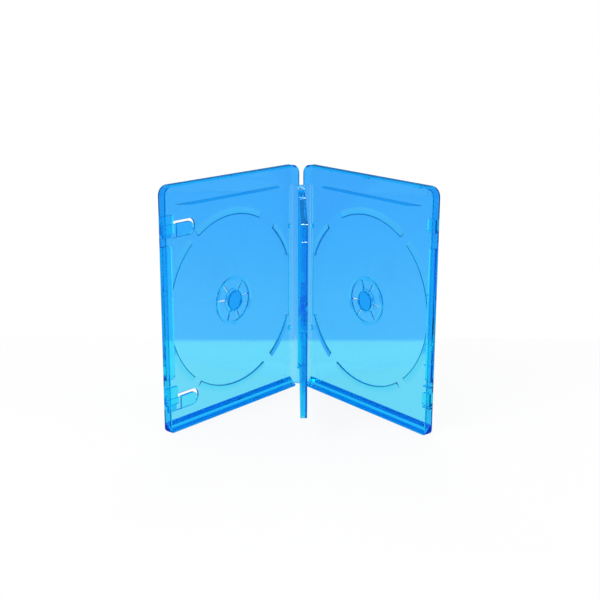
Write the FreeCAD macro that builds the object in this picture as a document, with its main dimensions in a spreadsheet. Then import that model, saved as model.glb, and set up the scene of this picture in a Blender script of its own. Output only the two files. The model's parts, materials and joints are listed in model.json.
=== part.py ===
import FreeCAD, Part
import math
import os
import re
import Sketcher

# Optical disc keep case for three discs, standing open on its end, in millimetres.
# The origin is at the foot of the spine: Z runs up, and the case opens towards -Y.

sizes = {
    # whole case, shut
    "caseHeight": 171.5,
    "caseDepth": 135.0,
    "caseThick": 14.0,
    "panelThick": 1.2,
    "wallThick": 1.4,
    "lipGap": 0.3,
    "topRadius": 7.0,
    "footRadius": 3.0,
    "edgeRound": 1.6,
    "footBevel": 5.4,
    # how far each cover stands open from flat
    "frontOpen": 49.0,
    "backOpen": 52.0,
    # living hinges and spine
    "hingeRadius": 0.3,
    "hingeClear": 0.1,
    "hingeStrip": 3.6,
    "wrapTall": 15.7,
    "shoulderGap": 0.4,
    "spineWide": 7.2,
    "spineThick": 1.2,
    "spineBevel": 0.6,
    "nibReach": 4.9,
    "nibSpread": 39.5,
    "nibWide": 2.0,
    "nibTall": 3.0,
    "nibRise": 1.6,
    # hub that grips a disc by its centre hole
    "hubReach": 65.6,
    "hubHeight": 80.4,
    "buttonRadius": 7.3,
    "buttonClear": 0.3,
    "buttonDeep": 2.2,
    "buttonTop": 1.0,
    "buttonWall": 0.9,
    "buttonBevel": 0.4,
    "buttonProud": 1.7,
    "gripStep": 0.3,
    "gripLift": 0.1,
    "collarThick": 1.2,
    "seatInner": 15.5,
    "seatOuter": 17.5,
    "seatRise": 1.0,
    "wellFloor": 0.6,
    "slitWide": 0.9,
    "armSpread": 46.0,
    "frontArm": 29.5,
    "backArm": 88.5,
    "trayArm": 60.0,
    # ring that fences the disc on a cover, open where fingers reach the disc's edge
    "ringRadius": 62.0,
    "ringTop": 0.6,
    "ringSlope": 4.5,
    "ringRise": 1.0,
    "ringEnd": 7.8,
    "fenceStart": 4.6,
    "fenceArm": 5.2,
    "fenceWide": 0.7,
    "fenceLong": 48.4,
    "fenceRise": 0.8,
    "outerGapAngle": 53.5,
    "outerGapWide": 8.0,
    "innerGapAngle": 124.0,
    "upperGapWide": 18.0,
    "lowerGapWide": 9.0,
    # shelf along the opening edge of a cover
    "frontShelfWide": 7.4,
    "backShelfWide": 4.6,
    "shelfFoot": 37.3,
    "shelfTall": 93.1,
    "shelfRound": 2.5,
    "shelfRise": 2.2,
    # booklet clips on the front cover
    "clipDrop": 31.2,
    "clipLower": 18.8,
    "clipHoleLong": 21.6,
    "clipHoleTall": 11.4,
    "clipHoleTip": 5.2,
    "tabLong": 27.3,
    "tabTall": 9.0,
    "tabTip": 4.2,
    "tabGap": 2.2,
    "tabThick": 1.0,
    "tabPadLong": 15.0,
    "tabPadThick": 1.2,
    "tabBlockDrop": 27.1,
    "tabBlockLower": 24.9,
    "tabBlockWide": 9.6,
    "tabBlockTall": 12.5,
    # catches, gussets and stops on the back cover
    "catchDrop": 26.2,
    "catchLower": 24.5,
    "catchWide": 6.7,
    "catchTall": 9.0,
    "catchRise": 2.4,
    "catchRound": 1.2,
    "gussetLong": 5.9,
    "gussetFoot": 18.8,
    "gussetPitch": 15.1,
    "gussetUpper": 98.2,
    "gussetThick": 0.8,
    "gussetRise": 2.6,
    "stopStart": 60.8,
    "stopPitch": 51.0,
    "stopLong": 6.5,
    "stopTall": 1.4,
    "stopRise": 2.4,
    # rib across the head of each cover, thinning out towards the opening edge
    "bandDrop": 15.4,
    "bandStart": 15.5,
    "bandEndGap": 16.1,
    "bandTaper": 11.0,
    "bandTall": 1.5,
    "bandRise": 1.8,
    # swing tray on its two pins
    "trayInset": 4.2,
    "trayFoot": 17.0,
    "trayDrop": 21.5,
    "trayHingeWall": 4.0,
    "trayThick": 4.4,
    "trayBack": 3.0,
    "trayPanel": 1.2,
    "trayWall": 1.4,
    "trayCorner": 13.0,
    "trayHubHeight": 80.0,
    "trayDisc": 60.4,
    "traySeatRise": 2.7,
    "trayRingWide": 1.0,
    "trayRingRise": 1.6,
    "barrelRadius": 2.4,
    "pinRadius": 1.5,
    "pinClear": 0.06,
    "pinClipWall": 1.24,
    "pinClipLong": 2.5,
    "pinClipMouth": 2.4,
    "trayEndGap": 0.4,
}

doc = FreeCAD.newDocument("DiscKeeper")
sheet = doc.addObject("Spreadsheet::Sheet", "Sizes")
for row, (alias, size) in enumerate(sizes.items(), start=1):
    sheet.set(f"A{row}", alias)
    sheet.set(f"B{row}", str(size))
    sheet.setAlias(f"B{row}", alias)
doc.recompute()

# places that several pieces share, written as sums of the sheet's sizes
hingeSide = "(caseThick / 2 - hingeRadius)"
coverReach = "(caseDepth - hingeRadius)"
coverStart = "(hingeRadius + hingeClear)"
lipLevel = "((caseThick - lipGap) / 2)"
shoulder = "(caseHeight - wrapTall)"
spineHead = f"({shoulder} - shoulderGap)"
openWall = f"({coverReach} - wallThick)"
topWall = "(caseHeight - wallThick)"
wellRadius = "(buttonRadius + buttonClear)"
collarRadius = f"({wellRadius} + collarThick)"
ringOuter = "(ringRadius + ringTop + ringSlope)"
ringCrest = "(panelThick + ringRise)"
trayHead = "(caseHeight - trayDrop)"
trayHub = "(trayHingeWall + trayDisc)"
trayReach = f"({trayHub} + trayDisc + trayWall)"
pinClipRadius = "(pinRadius + pinClear + pinClipWall)"
pinLong = "(trayEndGap + pinClipLong)"


def value(formula):
    return float(sheet.evalExpression(formula))


def bind(item, prop, formula):
    # every name with a capital inside is a size in the sheet
    item.setExpression(prop, re.sub(r"\b[a-z]+[A-Z]\w*", r"Sizes.\g<0>", formula))


def newSketch(body, name, plane, offset):
    drawing = body.newObject("Sketcher::SketchObject", name)
    support = [item for item in body.Origin.OriginFeatures if item.Role == plane][0]
    drawing.AttachmentSupport = [(support, "")]
    drawing.MapMode = "FlatFace"
    bind(drawing, "AttachmentOffset.Base.z", offset)
    return drawing


def fixPoint(drawing, axis, item, point, formula):
    # ties one coordinate of a sketch point to the sheet, measured from the sketch's origin
    size = value(formula)
    if abs(size) < 1e-9:
        line = {"X": -2, "Y": -1}[axis]
        drawing.addConstraint(Sketcher.Constraint("PointOnObject", item, point, line))
        return
    ends = (-1, 1, item, point) if size > 0 else (item, point, -1, 1)
    sign = "1" if size > 0 else "-1"
    number = drawing.addConstraint(Sketcher.Constraint("Distance" + axis, *ends, abs(size)))
    bind(drawing, f"Constraints[{number}]", f"{sign} * ({formula})")


def fixRadius(drawing, item, formula):
    number = drawing.addConstraint(Sketcher.Constraint("Radius", item, value(formula)))
    bind(drawing, f"Constraints[{number}]", formula)


def addCircle(drawing, x, y, radius):
    centre = FreeCAD.Vector(value(x), value(y), 0)
    item = drawing.addGeometry(Part.Circle(centre, FreeCAD.Vector(0, 0, 1), value(radius)))
    fixPoint(drawing, "X", item, 3, x)
    fixPoint(drawing, "Y", item, 3, y)
    fixRadius(drawing, item, radius)


def addOutline(drawing, corners):
    # closed outline, anticlockwise, through corners (x, y) or rounded corners (x, y, radius)
    count = len(corners)
    points = [FreeCAD.Vector(value(corner[0]), value(corner[1]), 0) for corner in corners]
    rounds = [corner[2] if len(corner) > 2 else None for corner in corners]
    entries, exits, arcs = [], [], []
    for i, point in enumerate(points):
        back = (points[i - 1] - point).normalize()
        ahead = (points[(i + 1) % count] - point).normalize()
        half = back.getAngle(ahead) / 2
        radius = value(rounds[i]) if rounds[i] else 0
        entries.append(point + back * (radius / math.tan(half)))
        exits.append(point + ahead * (radius / math.tan(half)))
        arcs.append((point + (back + ahead).normalize() * (radius / math.sin(half)), radius))
    lines = []
    for i in range(count):
        side = Part.LineSegment(exits[i], entries[(i + 1) % count])
        lines.append(drawing.addGeometry(side))
    level = [abs(points[i].y - points[(i + 1) % count].y) < 1e-9 for i in range(count)]
    upright = [abs(points[i].x - points[(i + 1) % count].x) < 1e-9 for i in range(count)]
    for i, (x, y, *_) in enumerate(corners):
        if rounds[i]:
            centre, radius = arcs[i]
            start = math.atan2(entries[i].y - centre.y, entries[i].x - centre.x)
            end = math.atan2(exits[i].y - centre.y, exits[i].x - centre.x)
            end = end if end > start else end + 2 * math.pi
            ring = Part.Circle(centre, FreeCAD.Vector(0, 0, 1), radius)
            arc = drawing.addGeometry(Part.ArcOfCircle(ring, start, end))
            drawing.addConstraint(Sketcher.Constraint("Tangent", lines[i - 1], 2, arc, 1))
            drawing.addConstraint(Sketcher.Constraint("Tangent", arc, 2, lines[i], 1))
            fixRadius(drawing, arc, rounds[i])
        else:
            drawing.addConstraint(Sketcher.Constraint("Coincident", lines[i - 1], 2, lines[i], 1))
        if upright[i]:
            drawing.addConstraint(Sketcher.Constraint("Vertical", lines[i]))
        if level[i]:
            drawing.addConstraint(Sketcher.Constraint("Horizontal", lines[i]))
        if upright[i] or not upright[i - 1]:
            if upright[i] or not level[i] or not level[i - 1]:
                fixPoint(drawing, "X", lines[i], 1, x)
        if level[i] or not level[i - 1]:
            if level[i] or not upright[i] or not upright[i - 1]:
                fixPoint(drawing, "Y", lines[i], 1, y)


def addLoops(drawing, loops):
    # a tuple is a circle (x, y, radius), a list is an outline
    for loop in loops:
        if isinstance(loop, tuple):
            addCircle(drawing, *loop)
        else:
            addOutline(drawing, loop)


def extrude(body, kind, drawing, length, turned, mayMiss=False):
    # mayMiss is for a trim that has nothing to cut at some sizes
    before = body.Shape.Volume if body.Tip else 0
    feature = body.newObject("PartDesign::" + kind, drawing.Name + kind)
    feature.Profile = drawing
    feature.Reversed = turned
    bind(feature, "Length", length)
    doc.recompute()
    change = body.Shape.Volume - before
    if not mayMiss and (change <= 0 if kind == "Pad" else change >= 0):
        raise ValueError(f"{drawing.Name} changes nothing in {body.Label}")
    return feature


def rectangle(left, right, foot, head):
    return [(left, foot), (right, foot), (right, head), (left, head)]


class Moulding:
    # A panel in its own frame: x runs out from its hinge, z up. Levels count from the
    # outer face towards the disc side, which is -y where side is 1 and +y where it is -1.
    def __init__(self, label, side, outerFace):
        self.body = doc.addObject("PartDesign::Body", label)
        self.body.Label = label
        self.side = side
        self.outerFace = outerFace

    def place(self, x, y, angle):
        self.body.Placement.Rotation = FreeCAD.Rotation(FreeCAD.Vector(0, 0, 1), 1)
        bind(self.body, "Placement.Base.x", x)
        bind(self.body, "Placement.Base.y", y)
        bind(self.body, "Placement.Rotation.Angle", angle)

    def sketchAt(self, name, level):
        label = f"{self.body.Name}_{name}"
        return newSketch(self.body, label, "XZ_Plane", f"{self.side} * (({level}) - {self.outerFace})")

    def raised(self, name, loops, low, high):
        drawing = self.sketchAt(name, low)
        addLoops(drawing, loops)
        return extrude(self.body, "Pad", drawing, f"({high}) - ({low})", self.side < 0)

    def sunk(self, name, loops, high, low, mayMiss=False):
        drawing = self.sketchAt(name, high)
        addLoops(drawing, loops)
        return extrude(self.body, "Pocket", drawing, f"({high}) - ({low})", self.side < 0, mayMiss)

    def turnedSketch(self, name, level, x, z, angle):
        # a sketch whose own origin sits at (x, z), turned by an angle in the panel's plane
        drawing = self.sketchAt(name, level)
        drawing.AttachmentOffset = FreeCAD.Placement(
            drawing.AttachmentOffset.Base, FreeCAD.Rotation(FreeCAD.Vector(0, 0, 1), 1))
        bind(drawing, "AttachmentOffset.Base.x", x)
        bind(drawing, "AttachmentOffset.Base.y", z)
        bind(drawing, "AttachmentOffset.Rotation.Angle", angle)
        return drawing

    def edgesAt(self, feature, level, height=None):
        # names of a feature's edges that lie whole in one level, and at one height if it is given
        depth = -self.side * value(f"({level}) - {self.outerFace}")
        names = []
        for number, edge in enumerate(feature.Shape.Edges, start=1):
            box = edge.BoundBox
            inLevel = abs(box.YMin - depth) < 1e-6 and abs(box.YMax - depth) < 1e-6
            atHeight = height is None or abs(edge.CenterOfMass.z - value(height)) < 1e-6
            if inLevel and atHeight:
                names.append(f"Edge{number}")
        return names

    def eased(self, feature, names, kind, size):
        # kind is Fillet or Chamfer
        ease = self.body.newObject("PartDesign::" + kind, feature.Name + kind)
        ease.Base = (feature, names)
        bind(ease, {"Fillet": "Radius", "Chamfer": "Size"}[kind], size)
        doc.recompute()


def addHub(moulding, reach, height, panel, rise, floor, firstArm):
    # seat ring for the disc, collar round the button, well, and slits that free the spring arms
    seat = f"({panel} + {rise})"
    moulding.raised("seat", [(reach, height, "seatOuter"), (reach, height, "seatInner")], panel, seat)
    moulding.raised("collar", [(reach, height, collarRadius)], panel, seat)
    moulding.sunk("well", [(reach, height, wellRadius)], seat, floor)
    slit = rectangle("buttonRadius", "seatInner", "-slitWide / 2", "slitWide / 2")
    for name, turn in (("slitA", "-armSpread / 2"), ("slitB", "armSpread / 2")):
        drawing = moulding.turnedSketch(name, seat, reach, height, f"{firstArm} + {turn}")
        addLoops(drawing, [slit])
        pocket = extrude(moulding.body, "Pocket", drawing, f"{seat} + hingeRadius", moulding.side < 0)
        pattern = moulding.body.newObject("PartDesign::PolarPattern", drawing.Name + "Pattern")
        pattern.Originals = [pocket]
        pattern.Axis = (drawing, ["N_Axis"])
        pattern.Angle = 360
        pattern.Occurrences = 3
        moulding.body.Tip = pattern
        doc.recompute()


def addDiscRing(cover, shelfWide):
    # upright fence round the disc with a long slope outside, which runs into the shelf
    shelfStart = f"({openWall} - {shelfWide})"
    shelf = [(shelfStart, "shelfFoot", "shelfRound"), (openWall, "shelfFoot"),
             (openWall, "shelfFoot + shelfTall"), (shelfStart, "shelfFoot + shelfTall", "shelfRound")]
    cover.raised("shelf", [shelf], "panelThick", "panelThick + shelfRise")
    drawing = newSketch(cover.body, cover.body.Name + "_ring", "XY_Plane", "hubHeight")
    bind(drawing, "AttachmentOffset.Base.x", "hubReach")
    floor = f"{-cover.side} * (panelThick - hingeRadius)"
    crest = f"{-cover.side} * ({ringCrest} - hingeRadius)"
    section = [("ringRadius", floor), (ringOuter, floor), ("ringRadius + ringTop", crest),
               ("ringRadius", crest)]
    addLoops(drawing, [section])
    ring = cover.body.newObject("PartDesign::Revolution", drawing.Name + "Turned")
    ring.Profile = drawing
    ring.ReferenceAxis = (drawing, ["V_Axis"])
    ring.Angle = 360
    doc.recompute()
    hingeEnd = rectangle(f"hubReach - {ringOuter} - wallThick", "ringEnd",
                         f"hubHeight - {ringOuter}", f"hubHeight + {ringOuter}")
    cover.sunk("ringEnd", [hingeEnd], ringCrest, "panelThick", True)
    gapInner, gapOuter = "ringRadius - ringTop", f"{ringOuter} + ringTop"
    for name, angle, wide in (
            ("gapUpper", "outerGapAngle", "outerGapWide"), ("gapLower", "-outerGapAngle", "outerGapWide"),
            ("fingerUpper", "innerGapAngle", "upperGapWide"),
            ("fingerLower", "-innerGapAngle", "lowerGapWide")):
        drawing = cover.turnedSketch(name, ringCrest, "hubReach", "hubHeight", angle)
        addLoops(drawing, [rectangle(gapInner, gapOuter, f"-{wide} / 2", f"{wide} / 2")])
        extrude(cover.body, "Pocket", drawing, "ringRise", cover.side < 0)
    # on the hinge side a straight fence with two short arms takes the ring's place
    foot, head = "(hubHeight - fenceLong / 2)", "(hubHeight + fenceLong / 2)"
    armFoot, armHead = f"{foot} + fenceWide", f"{head} - fenceWide"
    start, inner, armEnd = "fenceStart", "fenceStart + fenceWide", "fenceStart + fenceArm"
    fence = [(start, foot), (armEnd, foot), (armEnd, armFoot), (inner, armFoot),
             (inner, armHead), (armEnd, armHead), (armEnd, head), (start, head)]
    cover.raised("fence", [fence], "panelThick", "panelThick + fenceRise")


def makeCover(label, side, firstArm, shelfWide):
    # a cover with its rim walls, one closed dish at first, then opened along the spine
    cover = Moulding(label, side, "hingeRadius")
    rim = [("-hingeRadius", "0", "footRadius"), (coverReach, "0", "footRadius"),
           (coverReach, "caseHeight", "topRadius"), ("-hingeRadius", "caseHeight", "topRadius")]
    block = cover.raised("block", [rim], "0", lipLevel)
    cover.eased(block, cover.edgesAt(block, "0"), "Fillet", "min(edgeRound; 0.9 * footRadius)")
    inside = "(wallThick - hingeRadius)"
    hollow = [(inside, "wallThick"), (openWall, "wallThick"), (openWall, topWall, "topRadius - wallThick"),
              (inside, topWall, "topRadius - wallThick")]
    dish = cover.sunk("hollow", [hollow], lipLevel, "panelThick")
    # the panel runs into the foot wall in a wide slope, which the wall's depth limits
    foot = cover.edgesAt(dish, "panelThick", "wallThick")
    cover.eased(dish, foot, "Chamfer", f"min(footBevel; 0.95 * ({lipLevel} - panelThick))")
    strip = rectangle("-wallThick", "hingeStrip", "-wallThick", shoulder)
    cover.sunk("strip", [strip], lipLevel, "2 * hingeRadius")
    hinge = rectangle("-wallThick", coverStart, "-wallThick", shoulder)
    cover.sunk("hinge", [hinge], "2 * hingeRadius", "-hingeRadius")
    web = rectangle(coverStart, "hingeStrip", "0", shoulder)
    cover.raised("web", [web], "0", "2 * hingeRadius")
    addDiscRing(cover, shelfWide)
    addHub(cover, "hubReach", "hubHeight", "panelThick", "seatRise", "wellFloor", firstArm)
    low, high = "(caseHeight - bandDrop - bandTall / 2)", "(caseHeight - bandDrop + bandTall / 2)"
    bandEnd = f"({coverReach} - bandEndGap)"
    band = [("bandStart", low), (f"{bandEnd} - bandTaper", low), (bandEnd, high),
            ("bandStart + bandTall", high)]
    cover.raised("band", [band], "panelThick", "panelThick + bandRise")
    for name, turn in (("upperNib", "+"), ("lowerNib", "-")):
        middle = f"caseHeight / 2 {turn} nibSpread"
        nib = rectangle("nibReach - nibWide / 2", "nibReach + nibWide / 2",
                        f"{middle} - nibTall / 2", f"{middle} + nibTall / 2")
        cover.raised(name, [nib], "panelThick", "panelThick + nibRise")
    return cover


def addBookletClips(cover):
    # each clip is a tongue over a window in the panel, held by a block on the opening wall
    tabLow = "(panelThick + tabGap)"
    end = f"({openWall} - tabBlockWide)"
    start = f"({end} - clipHoleLong)"
    tip = f"({openWall} - tabLong)"
    holeRound, tipRound = "min(clipHoleTip; 0.48 * clipHoleTall)", "min(tabTip; 0.48 * tabTall)"
    for name, middle, blockMiddle in (
            ("upper", "(caseHeight - clipDrop)", "(caseHeight - tabBlockDrop)"),
            ("lower", "clipLower", "tabBlockLower")):
        foot, head = f"{middle} - clipHoleTall / 2", f"{middle} + clipHoleTall / 2"
        window = [(start, foot, holeRound), (end, foot), (end, head), (start, head, holeRound)]
        cover.sunk(name + "Window", [window], ringCrest, "-hingeRadius")
        foot, head = f"{middle} - tabTall / 2", f"{middle} + tabTall / 2"
        tongue = [(tip, foot, tipRound), (openWall, foot), (openWall, head), (tip, head, tipRound)]
        cover.raised(name + "Tongue", [tongue], tabLow, f"{tabLow} + tabThick")
        padEnd = f"{tip} + tabPadLong"
        pad = [(tip, foot, tipRound), (padEnd, foot), (padEnd, head), (tip, head, tipRound)]
        cover.raised(name + "TongueTip", [pad], f"{tabLow} - tabPadThick", tabLow)
        foot, head = f"{blockMiddle} - tabBlockTall / 2", f"{blockMiddle} + tabBlockTall / 2"
        cover.raised(name + "Block", [rectangle(end, openWall, foot, head)], "panelThick", tabLow)


def addCatches(cover):
    start = f"({openWall} - catchWide)"
    for name, middle in (("upper", "(caseHeight - catchDrop)"), ("lower", "catchLower")):
        foot, head = f"{middle} - catchTall / 2", f"{middle} + catchTall / 2"
        block = [(start, foot, "catchRound"), (openWall, foot), (openWall, head),
                 (start, head, "catchRound")]
        cover.raised(name + "Catch", [block], "panelThick", "panelThick + catchRise")
    start = f"({openWall} - gussetLong)"
    for name, middle in (("gusset", "gussetFoot"), ("upperGusset", "gussetUpper")):
        rib = rectangle(start, openWall, f"{middle} - gussetThick / 2", f"{middle} + gussetThick / 2")
        pad = cover.raised(name, [rib], "panelThick", "panelThick + gussetRise")
        if name == "gusset":
            addRow(cover, pad, "V_Axis", "3 * gussetPitch", 4)
    stop = rectangle("stopStart", "stopStart + stopLong", f"{topWall} - stopTall", topWall)
    pad = cover.raised("stop", [stop], "panelThick", "panelThick + stopRise")
    addRow(cover, pad, "H_Axis", "stopPitch", 2)


def addRow(cover, pad, axis, length, count):
    row = cover.body.newObject("PartDesign::LinearPattern", pad.Name + "Row")
    row.Originals = [pad]
    row.Direction = (pad.Profile[0], [axis])
    bind(row, "Length", length)
    row.Occurrences = count
    cover.body.Tip = row
    doc.recompute()


def makeSpine():
    # flat back strip that thins to a web at each living hinge, with a round bead on each axis
    spine = doc.addObject("PartDesign::Body", "spine")
    spine.Label = "spine"
    inner = "(spineThick - hingeRadius)"
    half = "spineWide / 2"
    slope = "(spineWide / 2 + spineBevel)"
    strip = [(f"-{hingeSide}", "-hingeRadius"), (f"-{slope}", "-hingeRadius"), (f"-{half}", f"-{inner}"),
             (half, f"-{inner}"), (slope, "-hingeRadius"), (hingeSide, "-hingeRadius"),
             (hingeSide, "hingeRadius"), (f"-{hingeSide}", "hingeRadius")]
    drawing = newSketch(spine, "spine_strip", "XY_Plane", "0")
    addLoops(drawing, [strip])
    extrude(spine, "Pad", drawing, spineHead, False)
    for name, x in (("beadFront", f"-{hingeSide}"), ("beadBack", hingeSide)):
        drawing = newSketch(spine, "spine_" + name, "XY_Plane", "0")
        addLoops(drawing, [(x, "0", "hingeRadius")])
        extrude(spine, "Pad", drawing, spineHead, False)
    # two snap clips hold the pins of the tray, their mouths towards the opening
    lowerFoot = f"(trayFoot - {pinLong})"
    for name, foot in (("upperClip", f"({trayHead} + trayEndGap)"), ("lowerClip", lowerFoot)):
        tip = f"-(trayInset + {pinClipRadius})"
        lug = [(f"-{pinClipRadius}", tip, "pinClipWall"), (pinClipRadius, tip, "pinClipWall"),
               (pinClipRadius, f"-{inner}"), (f"-{pinClipRadius}", f"-{inner}")]
        drawing = newSketch(spine, "spine_" + name, "XY_Plane", foot)
        addLoops(drawing, [lug])
        extrude(spine, "Pad", drawing, "pinClipLong", False)
        head = f"{foot} + pinClipLong"
        drawing = newSketch(spine, "spine_" + name + "Bore", "XY_Plane", head)
        addLoops(drawing, [("0", "-trayInset", "pinRadius + pinClear")])
        extrude(spine, "Pocket", drawing, "pinClipLong", False)
        mouth = rectangle("-pinClipMouth / 2", "pinClipMouth / 2", f"{tip} - pinClipWall", "-trayInset")
        drawing = newSketch(spine, "spine_" + name + "Mouth", "XY_Plane", head)
        addLoops(drawing, [mouth])
        extrude(spine, "Pocket", drawing, "pinClipLong", False)
    return spine


def makeTray():
    # third disc holder: a shallow dish with a barrel and two pins along its hinge side
    tray = Moulding("swing_tray", 1, "trayBack")
    slab = [("0", "trayFoot"), (trayReach, "trayFoot", "trayCorner"),
            (trayReach, trayHead, "trayCorner"), ("0", trayHead)]
    tray.raised("slab", [slab], "0", "trayThick")
    inside, foot, head = f"({trayReach} - trayWall)", "(trayFoot + trayWall)", f"({trayHead} - trayWall)"
    dish = [("trayHingeWall", foot), (inside, foot, "trayCorner - trayWall"),
            (inside, head, "trayCorner - trayWall"), ("trayHingeWall", head)]
    tray.sunk("dish", [dish], "trayThick", "trayPanel")
    ring = [(trayHub, "trayHubHeight", "trayDisc + trayRingWide"), (trayHub, "trayHubHeight", "trayDisc")]
    tray.raised("ring", [ring[0], ring[1]], "trayPanel", "trayPanel + trayRingRise")
    addHub(tray, trayHub, "trayHubHeight", "trayPanel", "traySeatRise", "-trayPanel", "trayArm")
    for name, radius, foot, length in (
            ("barrel", "barrelRadius", "trayFoot", f"{trayHead} - trayFoot"),
            ("upperPin", "pinRadius", trayHead, pinLong),
            ("lowerPin", "pinRadius", f"trayFoot - {pinLong}", pinLong)):
        drawing = newSketch(tray.body, "tray_" + name, "XY_Plane", foot)
        addLoops(drawing, [("0", "0", radius)])
        extrude(tray.body, "Pad", drawing, length, False)
    tray.place("0", "-trayInset", "-90")
    return tray


def makeButton(label, x, y, z, angle):
    # shallow cup, turned about the hub's axis, which is the button's own Y; the wider
    # band round its head starts just above the disc's seat and grips the disc's hole
    body = doc.addObject("PartDesign::Body", label)
    body.Label = label
    inside = "buttonRadius - buttonWall"
    ceiling = "buttonDeep - buttonTop"
    skirt = "buttonRadius - gripStep"
    grip = "buttonDeep - buttonProud + gripLift"
    cup = [(inside, "0"), (skirt, "0"), (skirt, grip), ("buttonRadius", grip),
           ("buttonRadius", "buttonDeep - buttonBevel"), ("buttonRadius - buttonBevel", "buttonDeep"),
           ("0", "buttonDeep"), ("0", ceiling), (inside, ceiling)]
    drawing = newSketch(body, label + "_cup", "XY_Plane", "0")
    addLoops(drawing, [cup])
    turned = body.newObject("PartDesign::Revolution", label + "_turned")
    turned.Profile = drawing
    turned.ReferenceAxis = (drawing, ["V_Axis"])
    turned.Angle = 360
    body.Placement.Rotation = FreeCAD.Rotation(FreeCAD.Vector(0, 0, 1), 1)
    for axis, formula in (("x", x), ("y", y), ("z", z)):
        bind(body, "Placement.Base." + axis, formula)
    bind(body, "Placement.Rotation.Angle", angle)
    doc.recompute()


makeSpine()
front = makeCover("front_cover", -1, "frontArm", "frontShelfWide")
addBookletClips(front)
front.place(f"-{hingeSide}", "0", "180 + frontOpen")
back = makeCover("back_cover", 1, "backArm", "backShelfWide")
addCatches(back)
back.place(hingeSide, "0", "-backOpen")
makeTray()

# the foot of each button, measured from its hinge axis towards the disc side
coverFoot = "(panelThick + seatRise + buttonProud - buttonDeep - hingeRadius)"
trayFootLevel = "(trayPanel + traySeatRise + buttonProud - buttonDeep - trayBack)"
makeButton("front_hub_button",
           f"-{hingeSide} - hubReach * cos(frontOpen) + {coverFoot} * sin(frontOpen)",
           f"-hubReach * sin(frontOpen) - {coverFoot} * cos(frontOpen)", "hubHeight", "180 + frontOpen")
makeButton("back_hub_button",
           f"{hingeSide} + hubReach * cos(backOpen) - {coverFoot} * sin(backOpen)",
           f"-hubReach * sin(backOpen) - {coverFoot} * cos(backOpen)", "hubHeight", "180 - backOpen")
makeButton("tray_hub_button", f"-{trayFootLevel}", f"-trayInset - {trayHub}", "trayHubHeight", "90")

doc.recompute()
for item in doc.Objects:
    if "Invalid" in item.State or "Error" in item.State:
        raise ValueError(f"{item.Label} failed: {item.State}")
os.makedirs("parts", exist_ok=True)
for body in [item for item in doc.Objects if item.TypeId == "PartDesign::Body"]:
    shape = body.Shape
    if shape.isNull() or not shape.isValid() or len(shape.Solids) != 1:
        raise ValueError(f"{body.Label} is not one sound solid")
    shape.exportStep(f"parts/{body.Label}.step")
    print(body.Label, round(shape.Volume, 1), shape.BoundBox)
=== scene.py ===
import json
import math

import bmesh
import bpy
from mathutils import Matrix, Vector

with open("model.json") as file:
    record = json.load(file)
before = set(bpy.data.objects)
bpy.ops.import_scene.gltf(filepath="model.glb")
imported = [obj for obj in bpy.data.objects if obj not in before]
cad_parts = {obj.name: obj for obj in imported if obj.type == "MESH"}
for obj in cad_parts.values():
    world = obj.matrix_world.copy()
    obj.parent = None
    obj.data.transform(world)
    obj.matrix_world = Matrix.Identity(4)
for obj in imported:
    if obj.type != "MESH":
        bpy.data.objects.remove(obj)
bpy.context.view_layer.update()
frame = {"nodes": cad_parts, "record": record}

# Three-disc keep case, standing open on a white sweep. The solids come from the packed
# model; this script gives them their plastic, the light and the camera. Metres.
scene = bpy.context.scene
mm = 0.001


def linear(hexColour):
    # sRGB hex to the linear numbers that the shader works in
    parts = [int(hexColour[i:i + 2], 16) / 255 for i in (1, 3, 5)]
    return tuple(p / 12.92 if p <= 0.04045 else ((p + 0.055) / 1.055) ** 2.4 for p in parts) + (1.0,)


def addNode(tree, kind, sockets=None, **settings):
    # one node with its settings; a socket takes a value or another node's output
    node = tree.nodes.new("ShaderNode" + kind)
    for name, setting in settings.items():
        setattr(node, name, setting)
    for name, given in (sockets or {}).items():
        if isinstance(given, bpy.types.NodeSocket):
            tree.links.new(given, node.inputs[name])
        else:
            node.inputs[name].default_value = given
    return node


def newMaterial(name):
    material = bpy.data.materials.new(name)
    material.use_nodes = True
    material.node_tree.nodes.clear()
    return material, material.node_tree


# Clear polypropylene, tinted blue and injection moulded against polished steel: it drinks the
# red out of what is seen through it, deeper where the wall is thick, and its faces shine
coverPlastic = {
    "tint": "#90E2FF",          # what one panel passes at its two faces
    "ior": 1.49,
    "cloud": 0.015,             # share of light that the slightly milky plastic scatters back
    "absorbColour": (0.0, 0.963, 0.998, 1.0),
    "absorbDensity": 400.0,     # per metre of plastic, so a thick wall turns deep blue
    "polish": (0.02, 0.06),     # roughness from the best polished to the dullest patch
    "polishPatch": 45 * mm,
    "patchDetail": 4.0,
    "patchSpan": (0.3, 0.7),    # the noise runs from best to dullest between these
    "flowWave": 30 * mm,        # faint waves that the melt leaves as it fills the mould
    "flowDetail": 1.0,
    "flowLift": 0.05 * mm,
}

# The tray is a moulding of its own, in a paler batch: seen edge on it keeps an azure glow
# where light runs along inside the panel
trayPlastic = dict(coverPlastic, tint="#84E8FF", absorbColour=(0.0, 0.985, 0.998, 1.0))

# Painted shade on two raised edges of each cover: the crest of the ring that fences the disc and the rib
# below the top edge get a darker tint painted in, for the darker lines where they bend away the light
discRing = {"radius": 62.3 * mm, "halfWide": 0.45 * mm, "rise": 1.0 * mm, "tint": "#1961A1"}
topRib = {"drop": 15.4 * mm, "halfTall": 0.8 * mm, "rise": 1.8 * mm, "tint": "#42BAED"}
panelThick = 1.2 * mm       # both edges rise from this panel's disc side
levelSlack = 0.1 * mm


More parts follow.
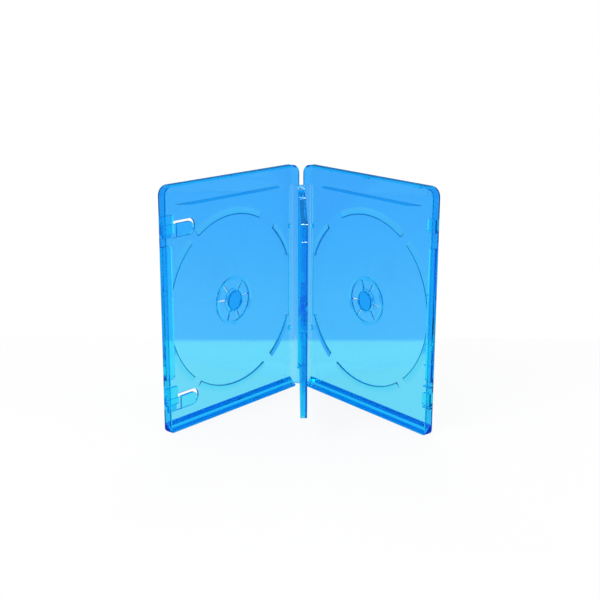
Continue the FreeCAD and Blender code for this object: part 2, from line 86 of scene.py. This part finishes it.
def paintedEdgeShade(tree, place, cover, hub, tint):
    # measured from the middle of the hub: X along the panel, Y out of its disc side, Z up
    axis, middle = Vector(hub["axis"]), Vector(hub["pos_m"])
    outerFace = min((corner.co - middle).dot(axis) for corner in cover.data.vertices)
    middle += axis * (outerFace + panelThick)
    flat = addNode(tree, "Mapping", {
        "Vector": place, "Location": middle, "Rotation": (0, 0, math.atan2(-axis.x, axis.y))},
        vector_type="TEXTURE")
    along = addNode(tree, "SeparateXYZ", {"Vector": flat.outputs["Vector"]}).outputs
    across = addNode(tree, "CombineXYZ", {"X": along["X"], "Z": along["Z"]})
    radius = addNode(tree, "VectorMath", {0: across.outputs["Vector"]}, operation="LENGTH")
    caseTop = max(corner.co.z for corner in cover.data.vertices)
    ribLevel = caseTop - topRib["drop"] - middle.z
    edges = ((discRing, radius.outputs["Value"], discRing["radius"], discRing["halfWide"]),
             (topRib, along["Z"], ribLevel, topRib["halfTall"]))
    # paint the darker tint on each crest: painted shade, not the plastic's own colour
    for look, distance, line, half in edges:
        onLine = addNode(tree, "Math", {0: distance, 1: line, 2: half}, operation="COMPARE")
        onCrest = addNode(tree, "Math", {0: along["Y"], 1: look["rise"], 2: levelSlack},
                          operation="COMPARE")
        crestShadeMask = addNode(tree, "Math", {0: onLine.outputs[0], 1: onCrest.outputs[0]},
                       operation="MULTIPLY")
        mix = addNode(tree, "MixRGB", {
            "Fac": crestShadeMask.outputs[0], "Color1": tint, "Color2": linear(look["tint"])})
        tint = mix.outputs["Color"]
    return tint


def clearPolypropylene(name, look, cover=None, hub=None):
    material, tree = newMaterial(name)
    place = addNode(tree, "TexCoord").outputs["Object"]
    tint = linear(look["tint"])
    # the covers carry painted shade on the crests of their ring and rib
    if hub:
        tint = paintedEdgeShade(tree, place, cover, hub, tint)
    patches = addNode(tree, "TexNoise", {
        "Vector": place, "Scale": 1 / look["polishPatch"], "Detail": look["patchDetail"]})
    best, dullest = look["polish"]
    low, high = look["patchSpan"]
    polish = addNode(tree, "MapRange", {
        "Value": patches.outputs["Fac"], "From Min": low, "From Max": high,
        "To Min": best, "To Max": dullest})
    flow = addNode(tree, "TexNoise", {
        "Vector": place, "Scale": 1 / look["flowWave"], "Detail": look["flowDetail"]})
    bump = addNode(tree, "Bump", {
        "Height": flow.outputs["Fac"], "Distance": look["flowLift"], "Strength": 1.0})
    surface = addNode(tree, "BsdfPrincipled", {
        "Base Color": tint, "IOR": look["ior"], "Transmission Weight": 1 - look["cloud"],
        "Roughness": polish.outputs["Result"], "Normal": bump.outputs["Normal"]})
    inside = addNode(tree, "VolumeAbsorption", {
        "Color": look["absorbColour"], "Density": look["absorbDensity"]})
    addNode(tree, "OutputMaterial", {
        "Surface": surface.outputs["BSDF"], "Volume": inside.outputs["Volume"]})
    return material


hubs = {mount["name"]: mount for mount in frame["record"]["mounts"]}
blue = clearPolypropylene("clearBluePolypropylene", coverPlastic)
paleBlue = clearPolypropylene("clearPaleBluePolypropylene", trayPlastic)
for name, node in frame["nodes"].items():
    node.data.materials.clear()
    plastic = paleBlue if "tray" in name else blue
    if name.endswith("_cover"):
        side = name.split("_")[0]
        plastic = clearPolypropylene(side + "BluePolypropylene", coverPlastic, node, hubs[side + "_hub"])
    node.data.materials.append(plastic)
print("plastic on", len(frame["nodes"]), "pieces")

# White card sweep, matt and without shine. Its far edge is what the eye finds behind the case,
# low down through both covers
sweep = {
    "left": -1.2,
    "right": 1.2,
    "near": -1.6,
    "far": 0.119,
    "under": -0.2 * mm,         # a hair below the case, so that no two faces share a plane
    "white": "#FFFFFF",
    "farTone": "#BCD6FF",       # seen through the plastic, where the card runs into the backdrop
    "fade": (0.105, 0.119),
    "paintedContactShadow": "#5CA0FF",       # painted contact shadow, blue, seen through the plastic close under its foot
    "contactReach": 8.0 * mm,
    "contactRays": 8,
    "mirrored": "#2E3A48",
    "shadowSeen": 0.1,          # share of real shadow for the eye, and through the plastic
    "shadowThrough": 0.04,
}


def whiteSweep(look):
    mesh = bmesh.new()
    bmesh.ops.create_grid(mesh, x_segments=1, y_segments=1, size=0.5)
    wide, deep = look["right"] - look["left"], look["far"] - look["near"]
    bmesh.ops.scale(mesh, vec=(wide, deep, 1), verts=mesh.verts)
    middle = ((look["left"] + look["right"]) / 2, (look["near"] + look["far"]) / 2, look["under"])
    bmesh.ops.translate(mesh, vec=middle, verts=mesh.verts)
    data = bpy.data.meshes.new("whiteSweep")
    mesh.to_mesh(data)
    mesh.free()
    floor = bpy.data.objects.new("whiteSweep", data)
    scene.collection.objects.link(floor)
    material, tree = newMaterial("whiteCard")
    rays = addNode(tree, "LightPath").outputs
    eye, mirrored, refracted = rays["Is Camera Ray"], rays["Is Glossy Ray"], rays["Is Transmission Ray"]
    place = addNode(tree, "SeparateXYZ", {"Vector": addNode(tree, "TexCoord").outputs["Object"]})
    start, end = look["fade"]
    away = addNode(tree, "MapRange", {"Value": place.outputs["Y"], "From Min": start, "From Max": end},
                   interpolation_type="SMOOTHSTEP")
    faded = addNode(tree, "Math", {0: away.outputs["Result"], 1: refracted}, operation="MULTIPLY")
    # painted contact shadow: ambient occlusion turns the card to the contact tone close under the case,
    # only for rays through the plastic
    near = addNode(tree, "AmbientOcclusion", {"Distance": look["contactReach"]},
                   samples=look["contactRays"])
    under = addNode(tree, "Math", {0: refracted, 1: near.outputs["AO"]},
                    operation="SUBTRACT", use_clamp=True)
    mirror = addNode(tree, "Math", {0: mirrored, 1: refracted}, operation="SUBTRACT", use_clamp=True)
    tone = linear(look["white"])
    for share, name in ((faded, "farTone"), (under, "paintedContactShadow"), (mirror, "mirrored")):
        mix = addNode(tree, "MixRGB", {
            "Fac": share.outputs[0], "Color1": tone, "Color2": linear(look[name])})
        tone = mix.outputs["Color"]
    # the card glows for the eye and for what looks through plastic, and is plain card for light
    seen = addNode(tree, "Math", {0: eye, 1: 1 - look["shadowSeen"]}, operation="MULTIPLY")
    through = addNode(tree, "Math", {0: refracted, 1: 1 - look["shadowThrough"]}, operation="MULTIPLY")
    glowing = addNode(tree, "Math", {0: seen.outputs[0], 1: through.outputs[0]}, operation="MAXIMUM")
    card = addNode(tree, "BsdfDiffuse", {"Color": tone})
    glow = addNode(tree, "Emission", {"Color": tone, "Strength": 1.0})
    mixed = addNode(tree, "MixShader", {
        0: glowing.outputs[0], 1: card.outputs[0], 2: glow.outputs[0]})
    addNode(tree, "OutputMaterial", {"Surface": mixed.outputs[0]})
    data.materials.append(material)


whiteSweep(sweep)
print("sweep is laid")

# Studio round the case: white to the camera, and a cooler, dimmer backdrop through the plastic,
# paler low down where it meets the sweep and deeper to the sides, which draws the edges
studio = {
    "seen": "#FFFFFF",
    "lowTone": "#BCD6FF",
    "highTone": "#9CC4FF",
    "aside": "#74B0F0",
    "ceiling": "#CFE6FF",
    "climb": (-0.30, -0.17),    # from where it meets the sweep up to the plain backdrop
    "head": (0.0, 0.2),         # from the backdrop's head to the room above it
    "spread": (0.85, 0.5),      # from straight behind the case round to its sides
    "rise": (0.4, 0.6),         # up to the bright ceiling
    "mirrored": "#2E3A48",
    "light": "#CBCBCB",
}


def studioWorld(look):
    world = bpy.data.worlds.new("studio")
    scene.world = world
    world.use_nodes = True
    tree = world.node_tree
    tree.nodes.clear()
    rays = addNode(tree, "LightPath").outputs
    heading = addNode(tree, "SeparateXYZ", {"Vector": addNode(tree, "TexCoord").outputs["Generated"]})
    backdrop = linear(look["lowTone"])
    for axis, band, name in (("Z", "climb", "highTone"), ("Z", "head", "aside"),
                             ("Y", "spread", "aside"), ("Z", "rise", "ceiling")):
        start, end = look[band]
        turn = addNode(tree, "MapRange", {
            "Value": heading.outputs[axis], "From Min": start, "From Max": end},
            interpolation_type="SMOOTHSTEP")
        mix = addNode(tree, "MixRGB", {
            "Fac": turn.outputs["Result"], "Color1": backdrop, "Color2": linear(look[name])})
        backdrop = mix.outputs["Color"]
    # the last of these that a ray answers to is what it meets
    colour = linear(look["light"])
    for kind, met in (("Is Glossy Ray", linear(look["mirrored"])), ("Is Transmission Ray", backdrop),
                      ("Is Camera Ray", linear(look["seen"]))):
        mix = addNode(tree, "MixRGB", {"Fac": rays[kind], "Color1": colour, "Color2": met})
        colour = mix.outputs["Color"]
    background = addNode(tree, "Background", {"Color": colour, "Strength": 1.0})
    addNode(tree, "OutputWorld", {"Surface": background.outputs[0]})


studioWorld(studio)

# Soft boxes: a big one above on the left, a smaller one low on the right, and two that the
# plastic mirrors, a small one in front and a strip behind
softBoxes = {
    "keyBox": {"place": (-0.7, -0.8, 0.9), "size": (0.6, 0.6), "power": 6.0, "mirrored": False},
    "fillBox": {"place": (0.9, -0.6, 0.4), "size": (0.4, 0.6), "power": 2.0, "mirrored": False},
    "frontGlint": {"place": (0.03, -1.05, 0.36), "size": (0.08, 0.08), "power": 0.25, "mirrored": True},
    "rearStrip": {"place": (0.0, 0.6, 0.8), "size": (0.4, 0.12), "power": 1.5, "mirrored": True},
}
aim = Vector((0, -0.05, 0.085))     # the middle of the case
for name, look in softBoxes.items():
    light = bpy.data.lights.new(name, "AREA")
    light.shape = "RECTANGLE"
    light.size, light.size_y = look["size"]
    light.energy = look["power"]
    lamp = bpy.data.objects.new(name, light)
    lamp.location = look["place"]
    lamp.rotation_euler = (aim - lamp.location).to_track_quat("-Z", "Y").to_euler()
    lamp.visible_camera = False
    lamp.visible_transmission = False
    lamp.visible_glossy = look["mirrored"]
    scene.collection.objects.link(lamp)
print("studio is lit by", len(softBoxes), "soft boxes")

# The photograph's camera: a little above the case, looking straight into the opening
viewpoint = {
    "place": (-8.68 * mm, -826.5 * mm, 290.5 * mm),
    "lens": 67.33,              # in millimetres, as is the film's width
    "film": 36.0,
    "down": 15.144,             # degrees below level, to the right, and rolled over
    "turn": 0.552,
    "lean": 0.187,
}


def addCamera(look):
    down, turn = math.radians(look["down"]), math.radians(look["turn"])
    ahead = Vector((math.sin(turn) * math.cos(down), math.cos(turn) * math.cos(down), -math.sin(down)))
    right = Vector((math.cos(turn), -math.sin(turn), 0))
    upright = Matrix((right, right.cross(ahead), -ahead)).transposed()
    leaning = upright @ Matrix.Rotation(math.radians(look["lean"]), 3, "Z")
    data = bpy.data.cameras.new("camera")
    data.lens = look["lens"]
    data.sensor_width = look["film"]
    camera = bpy.data.objects.new("camera", data)
    camera.matrix_world = Matrix.Translation(look["place"]) @ leaning.to_4x4()
    scene.collection.objects.link(camera)
    scene.camera = camera


addCamera(viewpoint)
scene.view_settings.view_transform = "Standard"
lightTurns = 32     # light takes many turns inside a clear moulding before it leaves it
scene.cycles.max_bounces = lightTurns
scene.cycles.transmission_bounces = lightTurns
scene.cycles.glossy_bounces = lightTurns
print("camera is set")
